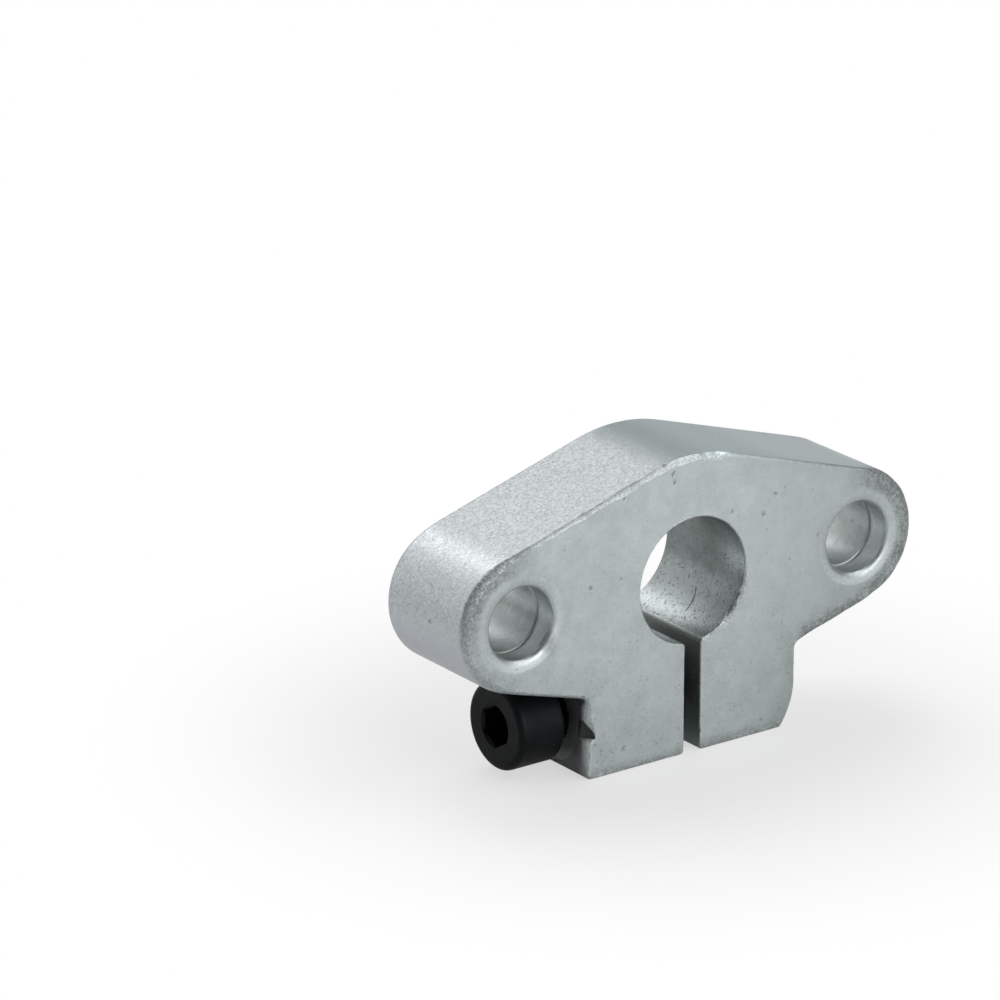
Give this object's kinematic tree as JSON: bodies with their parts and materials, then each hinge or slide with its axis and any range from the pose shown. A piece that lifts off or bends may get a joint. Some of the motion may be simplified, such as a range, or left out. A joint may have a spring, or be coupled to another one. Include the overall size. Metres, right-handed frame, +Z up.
{
  "type": "shaft support block",
  "caption": "Flanged block that clamps the end of a round guide shaft in a split bore; one cap screw through the foot closes the slit and two holes in the flange take bolts.",
  "frame": {"origin": "centre of the shaft bore, half way through the block's thickness", "axes": "+Y along the shaft, into the face behind; +X along the flange, away from the screw's head; +Z up, from the clamping foot towards the crown"},
  "size_m": [0.043, 0.01, 0.024],
  "materials": {
    "block_aluminium": "extruded bar, sawn to length and tumbled: satin faces, bright blasted outer skin, small pits",
    "screw_black": "alloy steel with a black oxide finish, slightly oily"
  },
  "bodies": {
    "block": {"support_block": "block_aluminium"},
    "screw": {"clamp_screw": "screw_black"}
  },
  "joints": [
    {"name": "screw_turn", "type": "hinge", "parent": "block", "child": "screw", "pos_m": [-0.011, 0, -0.01], "axis": [1, 0, 0], "range_deg": [-2185, 615]}
  ]
}
